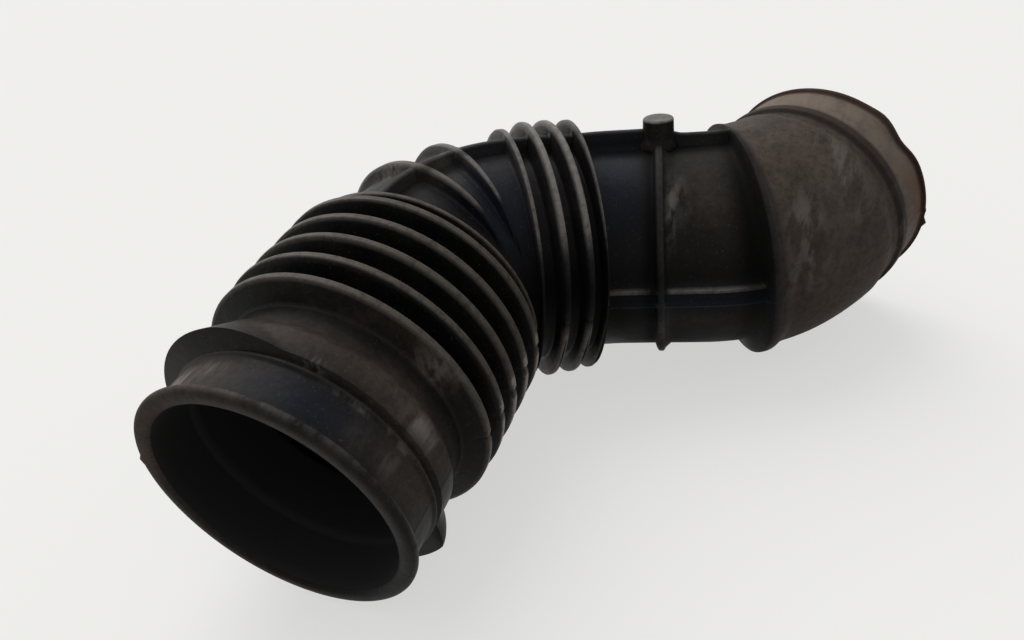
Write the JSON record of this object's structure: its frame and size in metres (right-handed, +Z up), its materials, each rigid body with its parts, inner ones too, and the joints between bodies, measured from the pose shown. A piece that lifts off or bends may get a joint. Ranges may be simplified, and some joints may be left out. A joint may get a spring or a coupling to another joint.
{
  "type": "air intake hose",
  "caption": "Moulded rubber air intake hose: an S-bend with bellows between a near cuff and a far cuff for clamps, carrying filtered air to an engine.",
  "frame": {"origin": "on the table, under the middle of the hose's box", "axes": "+Z up from the table the hose lies on, -Y towards the near mouth, +X the side the hose bends to"},
  "size_m": [0.2154, 0.2276, 0.1044],
  "materials": {
    "rubber": "satin"
  },
  "bodies": {
    "root": {"hose": "rubber"}
  },
  "joints": []
}
